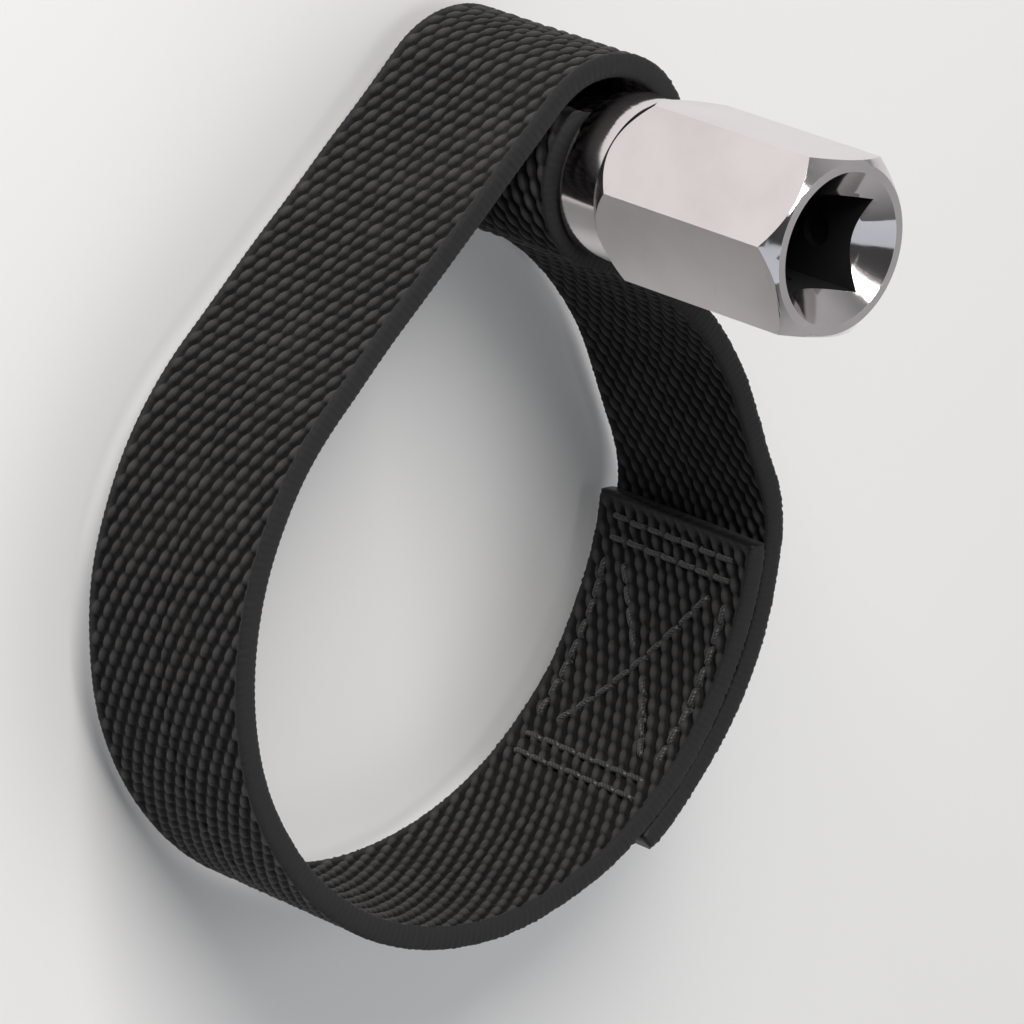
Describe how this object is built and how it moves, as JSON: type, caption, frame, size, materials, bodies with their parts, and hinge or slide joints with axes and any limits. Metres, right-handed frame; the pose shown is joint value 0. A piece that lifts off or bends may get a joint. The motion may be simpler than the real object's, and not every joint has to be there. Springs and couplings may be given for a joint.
{
  "type": "strap filter wrench",
  "caption": "Webbing strap loop wound through a slotted chrome driver with a hexagon and a half-inch square socket, for turning a round filter can.",
  "frame": {"origin": "on the axis of the strap's loop, at the middle of the strap's width", "axes": "+Z along the loop's axis towards the driver's square socket; +Y from the loop's axis to the driver's"},
  "size_m": [0.104, 0.1264, 0.076],
  "materials": {
    "chrome_steel": "polished chrome plating on turned and milled steel",
    "webbing": "heavy black woven nylon webbing",
    "thread": "black bonded nylon sewing thread"
  },
  "bodies": {
    "strap": {"strap_loop": "webbing", "lap_stitching": "thread"},
    "driver": {"driver": "chrome_steel", "strap_winding": "webbing"}
  },
  "joints": [
    {"name": "driver_turn", "type": "hinge", "parent": "strap", "child": "driver", "pos_m": [0, 0.0602, 0], "axis": [0, 0, 1], "range_deg": [-20, 20], "deforming": ["strap_winding"]}
  ]
}
